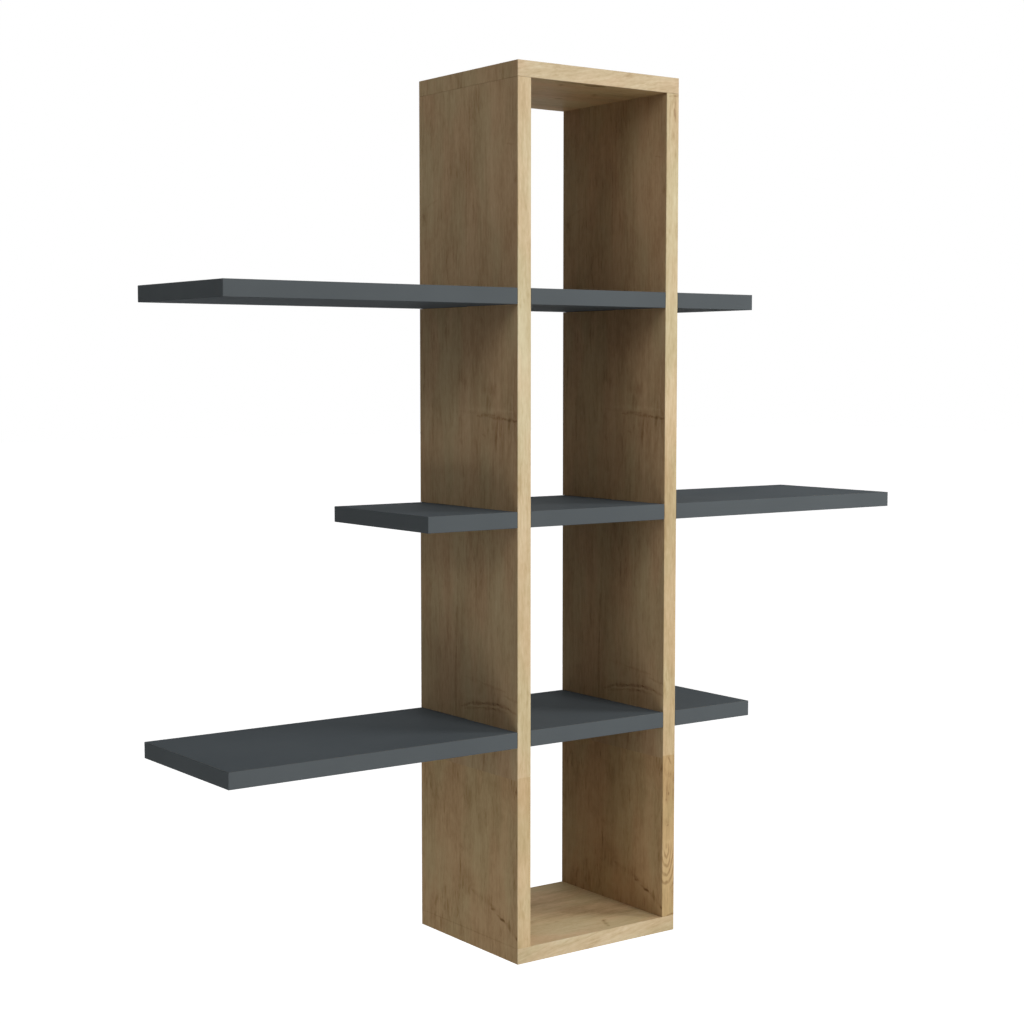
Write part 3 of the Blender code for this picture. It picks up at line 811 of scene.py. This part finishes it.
def anthracite(name, plain, pale, is_board):
    material, pen, surface = new_material(name, 0.7, Specular_IOR_Level=0.01)
    place = pen.node("TexCoord").outputs["Object"]
    pearl = pen.group("pearl texture", {"Place": place, "Roughness": 0.7})
    cloud = pen.noise(place, (CLOUDS_PER_METRE,) * 3, 3.0, 0.6)
    colour = pen.mix(pen.fade(cloud, 0.3, 0.7), (*plain, 1.0), (*pale, 1.0))
    if is_board:
        finish_board(pen, surface, faces_along(pen, "Z"), colour, pearl["Roughness"], pearl["Height"])
    else:
        end_material(pen, surface, colour, pearl["Roughness"], pearl["Height"], PEARL_DEPTH)
    return material


SHELF_NAMES = ("upper_shelf", "middle_shelf", "lower_shelf")
dress(anthracite("anthracite board", *ANTHRACITE_BOARD, True), *SHELF_NAMES)
anthracite_bands = [name for name in nodes if name.startswith(SHELF_NAMES) and name.endswith("_band")]
dress(anthracite("anthracite band", *ANTHRACITE_BAND, False), *anthracite_bands)
print(len(anthracite_bands), "anthracite bands dressed")

# %% [markdown]
# ## Steel, beech and plastic
#
# The small parts are zinc plated steel with a faint crystalline mottle, fluted beech dowels
# with their own fine grain, and caps of oak-coloured plastic.

# %% Finishes of the small parts
ZINC = ((0.58, 0.59, 0.60, 1.0), (0.70, 0.71, 0.73, 1.0))
ZINC_DEPTH = 0.00002
BEECH = ((0.50, 0.33, 0.19, 1.0), (0.72, 0.53, 0.34, 1.0))
BEECH_RAY = (0.38, 0.22, 0.12, 1.0)
BEECH_DEPTH = 0.00005
CAP_PLASTIC = ((0.50, 0.37, 0.21, 1.0), (0.62, 0.48, 0.29, 1.0))

zinc_steel, pen, surface = new_material("zinc plated steel", 0.35, Metallic=1.0)
place = pen.node("TexCoord").outputs["Object"]
crystals = pen.node("TexVoronoi", {"Vector": place, "Scale": 900.0}).outputs["Color"]
scuffs = pen.noise(place, (260.0,) * 3, 4.0, 0.7)
end_material(pen, surface, pen.mix(pen.split(crystals)[0], *ZINC),
             pen.fade(scuffs, 0.3, 0.7, 0.28, 0.44), scuffs, ZINC_DEPTH)

beech_wood, pen, surface = new_material("beech", 0.7, Specular_IOR_Level=0.3)
place = pen.node("TexCoord").outputs["Object"]
fibres = pen.noise(place, (1800.0, 1800.0, 90.0), 3.0, 0.6)
rays = pen.fade(pen.noise(place, (2600.0, 2600.0, 500.0), 1.0), 0.62, 0.72)
end_material(pen, surface, pen.mix(rays, pen.mix(fibres, *BEECH), BEECH_RAY),
             pen.fade(fibres, 0.3, 0.7, 0.62, 0.78), fibres, BEECH_DEPTH)

oak_plastic, pen, surface = new_material("oak plastic", 0.45, Specular_IOR_Level=0.4)
place = pen.node("TexCoord").outputs["Object"]
pearl = pen.group("pearl texture", {"Place": place, "Roughness": 0.45})
streaks = pen.noise(place, (900.0, 90.0, 900.0), 2.0)
end_material(pen, surface, pen.mix(streaks, *CAP_PLASTIC), pearl["Roughness"], pearl["Height"],
             PEARL_DEPTH)
dress(beech_wood, *[name for name in nodes if name.endswith("_dowel")])
print("dowels dressed")

# %% [markdown]
# ## Small parts turned on a lathe
#
# Screws and caps are round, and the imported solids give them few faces, so they are modelled
# again in full. A profile is a chain of points from the middle of the outer end, down the
# outer side, and bmesh's spin turns it into a surface. A profile that starts away from the
# axis leaves the head open, for a recess. Each piece is built with its Z pointing out of
# the wood, then carried to every place where the bookcase has one.

# %% Turn a profile, and put the result in its places
MERGE = 0.000001
Z_AXIS = {"cent": (0.0, 0.0, 0.0), "axis": (0.0, 0.0, 1.0)}
ROUND_STEPS = 64
SMOOTH_BELOW = math.radians(32)


def turned(profile):
    """A bmesh of a profile, as (radius, height) points in metres, spun round the Z axis."""
    shape = bmesh.new()
    verts = [shape.verts.new((radius, 0.0, height)) for radius, height in profile]
    edges = [shape.edges.new(pair) for pair in zip(verts, verts[1:])]
    bmesh.ops.spin(shape, geom=verts + edges, **Z_AXIS, angle=2 * math.pi, steps=ROUND_STEPS,
                   use_merge=True)
    bmesh.ops.remove_doubles(shape, verts=shape.verts, dist=MERGE)
    return shape


def put_in_places(shape, material, slot, places):
    """Makes a piece of the bmesh for each (node, matrix), to stand for that CAD node."""
    bmesh.ops.remove_doubles(shape, verts=shape.verts, dist=MERGE)
    bmesh.ops.recalc_face_normals(shape, faces=shape.faces)
    open_edges = sum(not edge.is_manifold for edge in shape.edges)
    mesh = bpy.data.meshes.new(slot)
    shape.to_mesh(mesh)
    shape.free()
    mesh.shade_smooth()
    mesh.set_sharp_from_angle(angle=SMOOTH_BELOW)
    mesh.materials.append(material)
    for node, place in places:
        own_mesh = mesh.copy()
        own_mesh.transform(place)
        piece = bpy.data.objects.new(f"{node}_in_full", own_mesh)
        bpy.context.scene.collection.objects.link(piece)
        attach(piece, "root")
        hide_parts(node)
    print(len(places), "pieces of", len(mesh.polygons), "faces,", open_edges, "open edges")


def outermost(node, axis, end, turn):
    """The node and a matrix that brings a piece's origin to the middle of the node's box, but
    to its low or high end (0 or 1) along an axis, and turns its Z outwards."""
    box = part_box(node)
    middle = (Vector(box[0]) + Vector(box[1])) / 2
    middle[axis] = box[end][axis]
    return node, Matrix.Translation(middle) @ turn


def at_corners(word):
    """The places of a piece that each of the eight corner screws has."""
    places = []
    for level, end, angle in (("top", 1, 0.0), ("bottom", 0, math.pi)):
        for corner in ("left_front", "left_back", "right_front", "right_back"):
            turn = Matrix.Rotation(angle, 4, "Y")
            places.append(outermost(f"{level}_{corner}_{word}", 2, end, turn))
    return places


# %% [markdown]
# ## Caps
#
# A cap hides each corner screw: a low dome of oak-coloured plastic, 13 mm wide, hollow
# underneath, with a peg that plugs into the screw's hexagon socket. Three fins on the peg
# keep it straight there. The dome's profile is a quarter of a flat ellipse, so its points
# come from the sine and the cosine of an angle, and the rim gets a small rounding.

# %% Make the caps
CAP_RADIUS = 0.0065
CAP_CROWN = 0.0007  # rise of the dome
CAP_RIM = 0.0005
CAP_ROUNDING = 0.00015
CAP_WALL = 0.0008
CAP_DRAFT = 0.0002  # how far the wall leans in
CAP_HOLLOW = 0.0005  # height of the space under the dome
DOME_STEPS = 9
PEG_RADIUS = 0.0015
PEG_LENGTH = 0.0024
PEG_EDGE = 0.0003
FIN_REACH = 0.0019  # from the axis, the socket's flats are 2 mm from it
FIN_ROOT = PEG_RADIUS / 2
FIN_WIDTH = 0.0004
FIN_LENGTH = 0.75 * PEG_LENGTH
FIN_MIDDLE = 0.45 * PEG_LENGTH  # below the underside
FIN_TURN = 30  # degrees

underside = -CAP_CROWN - CAP_RIM
hollow_top = underside + CAP_HOLLOW
peg_end = underside - PEG_LENGTH
profile = []
for step in range(DOME_STEPS + 1):
    angle = math.pi / 2 * step / DOME_STEPS
    profile.append(((CAP_RADIUS - CAP_ROUNDING) * math.sin(angle), CAP_CROWN * (math.cos(angle) - 1)))
profile += [
    (CAP_RADIUS, -CAP_CROWN - CAP_ROUNDING), (CAP_RADIUS, underside),
    (CAP_RADIUS - CAP_WALL, underside), (CAP_RADIUS - CAP_WALL - CAP_DRAFT, hollow_top),
    (PEG_RADIUS + PEG_EDGE, hollow_top), (PEG_RADIUS, hollow_top - PEG_EDGE),
    (PEG_RADIUS, peg_end + PEG_EDGE), (PEG_RADIUS - PEG_EDGE, peg_end), (0.0, peg_end)]
shape = turned(profile)
for third in range(3):
    fin = bmesh.ops.create_cube(shape, size=1.0)["verts"]
    bmesh.ops.scale(shape, verts=fin, vec=(FIN_REACH - FIN_ROOT, FIN_WIDTH, FIN_LENGTH))
    bmesh.ops.translate(shape, verts=fin, vec=((FIN_REACH + FIN_ROOT) / 2, 0.0, underside - FIN_MIDDLE))
    turn = Matrix.Rotation(math.radians(120 * third + FIN_TURN), 3, "Z")
    bmesh.ops.rotate(shape, verts=fin, cent=(0.0, 0.0, 0.0), matrix=turn)
put_in_places(shape, oak_plastic, "oak_plastic", at_corners("cap"))

# %% [markdown]
# ## Recesses in the heads
#
# The corner screws are driven by a hexagon key, the plate screws by a cross-tip driver. The
# mouth of either recess is a flat patch of faces in the open head. A triangle fill closes
# the ring between the patch and the head's edge, and then the patch is extruded down. Its
# floor may be narrower than its mouth, and may have the little cone that a punch leaves.

# %% Sink a recess, and wind a thread
THREAD_ROOT = 0.95  # share of the core's radius at which a thread starts, inside the core
THREAD_STEPS = 24  # in a turn


def sink_recess(shape, mouth, depth, floor_share, cone=0.0):
    """Closes an open head round the faces of the recess's mouth, and sinks these."""
    rings = [edge for edge in shape.edges if edge.is_boundary]
    bmesh.ops.triangle_fill(shape, edges=rings, use_beauty=True, normal=(0.0, 0.0, 1.0))
    grown = bmesh.ops.extrude_face_region(shape, geom=mouth)["geom"]
    bmesh.ops.delete(shape, geom=[face for face in mouth if face.is_valid], context="FACES")
    floor_verts = [item for item in grown if isinstance(item, bmesh.types.BMVert)]
    floor_faces = [item for item in grown if isinstance(item, bmesh.types.BMFace)]
    bmesh.ops.translate(shape, verts=floor_verts, vec=(0.0, 0.0, -depth))
    bmesh.ops.scale(shape, verts=floor_verts, vec=(floor_share, floor_share, 1.0))
    if cone:
        bmesh.ops.poke(shape, faces=floor_faces, offset=-cone)


def wind_thread(shape, core, crest, pitch, start, end):
    """Winds a thread round a shank, as a closed coil that fades into the core at both ends."""
    root = core * THREAD_ROOT
    section = [(root, 0.30), (crest, 0.06), (crest, -0.06), (root, -0.30)]  # heights in pitches
    verts = [shape.verts.new((radius, 0.0, start + share * pitch)) for radius, share in section]
    edges = [shape.edges.new(pair) for pair in zip(verts, verts[1:] + verts[:1])]
    older = len(shape.verts) - len(verts)
    turns = (start - end) / pitch
    count = round(turns * THREAD_STEPS)
    bmesh.ops.spin(shape, geom=verts + edges, **Z_AXIS, angle=2 * math.pi * turns,
                   dvec=(0.0, 0.0, (end - start) / count), steps=count)
    bmesh.ops.holes_fill(shape, edges=[edge for edge in shape.edges if edge.is_boundary], sides=4)
    shape.verts.ensure_lookup_table()
    for vert in shape.verts[older:]:
        share = min(max(min(start - vert.co.z, vert.co.z - end) / pitch, 0.0), 1.0)
        radius = vert.co.xy.length
        vert.co.xy = vert.co.xy * (root + (radius - root) * share) / radius


# %% [markdown]
# ## Corner screws
#
# The tower is held together by one-piece screws, the kind with a thick neck and a coarse
# thread that grips chipboard. The neck fills the hole through the top or bottom panel, and
# the thread runs into the end of the side panel. The head is a cone with a narrow rim, set
# a little below the panel's face.

# %% Make the corner screws
SCREW_LENGTH = 0.050
SCREW_HEAD_RADIUS = 0.005
SCREW_RIM = 0.0008
SCREW_TAPER = 0.003
SCREW_NECK_RADIUS = 0.0035
SCREW_NECK_LENGTH = 0.010
SCREW_CORE_RADIUS = 0.0024
SCREW_CREST_RADIUS = 0.0034
SCREW_PITCH = 0.0030
SCREW_POINT = 0.006
SCREW_TIP_RADIUS = 0.0003
SCREW_EDGE = 0.0002  # the roundings are this or a few times this
THREAD_GAP = 0.002  # from the neck to the thread
SOCKET_WIDTH = 0.004  # across the flats
SOCKET_DEPTH = 0.0032
SOCKET_CONE = 0.0006

neck_top = -SCREW_RIM - SCREW_TAPER
neck_end = neck_top - SCREW_NECK_LENGTH
fillet = 1.5 * SCREW_EDGE
shape = turned([
    (SCREW_HEAD_RADIUS - 4 * SCREW_EDGE, 0.0), (SCREW_HEAD_RADIUS - SCREW_EDGE, 0.0),
    (SCREW_HEAD_RADIUS, -SCREW_EDGE), (SCREW_HEAD_RADIUS, -SCREW_RIM),
    (SCREW_NECK_RADIUS + SCREW_EDGE, neck_top + fillet), (SCREW_NECK_RADIUS, neck_top - fillet),
    (SCREW_NECK_RADIUS, neck_end + fillet), (SCREW_NECK_RADIUS - fillet, neck_end),
    (SCREW_CORE_RADIUS + SCREW_EDGE, neck_end - 2 * SCREW_EDGE),
    (SCREW_CORE_RADIUS, neck_end - 5 * SCREW_EDGE), (SCREW_CORE_RADIUS, SCREW_POINT - SCREW_LENGTH),
    (0.55 * SCREW_CORE_RADIUS, SCREW_POINT / 3 - SCREW_LENGTH),
    (SCREW_TIP_RADIUS, SCREW_TIP_RADIUS / 3 - SCREW_LENGTH), (0.0, -SCREW_LENGTH)])
circle = bmesh.ops.create_circle(shape, cap_ends=True, segments=6, radius=SOCKET_WIDTH / math.sqrt(3))
sink_recess(shape, [circle["verts"][0].link_faces[0]], SOCKET_DEPTH, 1.0, SOCKET_CONE)
wind_thread(shape, SCREW_CORE_RADIUS, SCREW_CREST_RADIUS, SCREW_PITCH, neck_end - THREAD_GAP,
            SCREW_POINT / 2 - SCREW_LENGTH)
put_in_places(shape, zinc_steel, "zinc_plated_steel", at_corners("screw"))

# %% [markdown]
# ## Plate screws
#
# Two small countersunk wood screws hold each hanger plate. Their recess is a cross, made
# from a square whose four edges are drawn out into arms.

# %% Make the plate screws
PLATE_SCREW_LENGTH = 0.016
PLATE_HEAD_RADIUS = 0.0028
PLATE_RIM = 0.0002
PLATE_TAPER = 0.0014
PLATE_CORE_RADIUS = 0.0010
PLATE_CREST_RADIUS = 0.0015
PLATE_PITCH = 0.0013
PLATE_POINT = 0.0035
PLATE_TIP_RADIUS = 0.0001
PLATE_EDGE = 0.0003
PLATE_THREAD = (-0.0030, 0.0008 - PLATE_SCREW_LENGTH)  # heights where it starts and ends
CROSS_WIDTH = 0.0009
CROSS_LENGTH = 0.0032
CROSS_DEPTH = 0.0012
CROSS_FLOOR = 0.35  # size of the cross's floor, as a share of its mouth


def at_plates(word):
    """The places of a piece that both hanger plates have."""
    turn = Matrix.Rotation(math.radians(-90), 4, "X")
    return [outermost(f"{side}_hanger_{word}", 1, 1, turn) for side in ("left", "right")]


taper_end = -PLATE_RIM - PLATE_TAPER
shape = turned([
    (PLATE_HEAD_RADIUS - PLATE_EDGE, 0.0), (PLATE_HEAD_RADIUS, -0.4 * PLATE_RIM),
    (PLATE_HEAD_RADIUS, -PLATE_RIM), (PLATE_CORE_RADIUS + PLATE_EDGE, taper_end),
    (PLATE_CORE_RADIUS, taper_end - 2 * PLATE_EDGE),
    (PLATE_CORE_RADIUS, PLATE_POINT - PLATE_SCREW_LENGTH),
    (PLATE_TIP_RADIUS, PLATE_TIP_RADIUS - PLATE_SCREW_LENGTH), (0.0, -PLATE_SCREW_LENGTH)])
square = bmesh.ops.create_grid(shape, x_segments=1, y_segments=1, size=CROSS_WIDTH / 2)["verts"]
middle_face = square[0].link_faces[0]
arm_length = (CROSS_LENGTH - CROSS_WIDTH) / 2
for edge in list(middle_face.edges):
    outwards = (edge.verts[0].co + edge.verts[1].co).normalized()
    grown = bmesh.ops.extrude_edge_only(shape, edges=[edge])["geom"]
    arm_end = [item for item in grown if isinstance(item, bmesh.types.BMVert)]
    bmesh.ops.translate(shape, verts=arm_end, vec=outwards * arm_length)
arms = {face for vert in middle_face.verts for face in vert.link_faces}
sink_recess(shape, list(arms), CROSS_DEPTH, CROSS_FLOOR)
wind_thread(shape, PLATE_CORE_RADIUS, PLATE_CREST_RADIUS, PLATE_PITCH, *PLATE_THREAD)
put_in_places(shape, zinc_steel, "zinc_plated_steel", at_plates("upper_screw") + at_plates("lower_screw"))

# %% [markdown]
# ## Hanger plates
#
# A stamped steel plate with a keyhole sits in the back edge of each side panel. The packed
# solid has its exact outline and countersunk holes, so a copy of it is the best start: its
# loose triangles are merged into flat faces, and then every sharp edge gets the small
# rounding that tumbling leaves on stamped parts.

# %% Make the hanger plates
PLATE_ROUNDING = 0.00022
FLAT_BELOW = math.radians(1)
ROUNDED_ABOVE = math.radians(40)

for side in ("left", "right"):
    node = f"{side}_hanger_plate"
    shape = bmesh.new()
    shape.from_mesh(nodes[node].data)
    bmesh.ops.remove_doubles(shape, verts=shape.verts, dist=MERGE)
    bmesh.ops.dissolve_limit(shape, angle_limit=FLAT_BELOW, verts=shape.verts, edges=shape.edges)
    sharp = [edge for edge in shape.edges if edge.calc_face_angle(0.0) > ROUNDED_ABOVE]
    bmesh.ops.bevel(shape, geom=sharp, offset=PLATE_ROUNDING, affect="EDGES", segments=3, profile=0.5,
                    material=-1, clamp_overlap=True)
    put_in_places(shape, zinc_steel, "zinc_plated_steel", [(node, Matrix.Identity(4))])
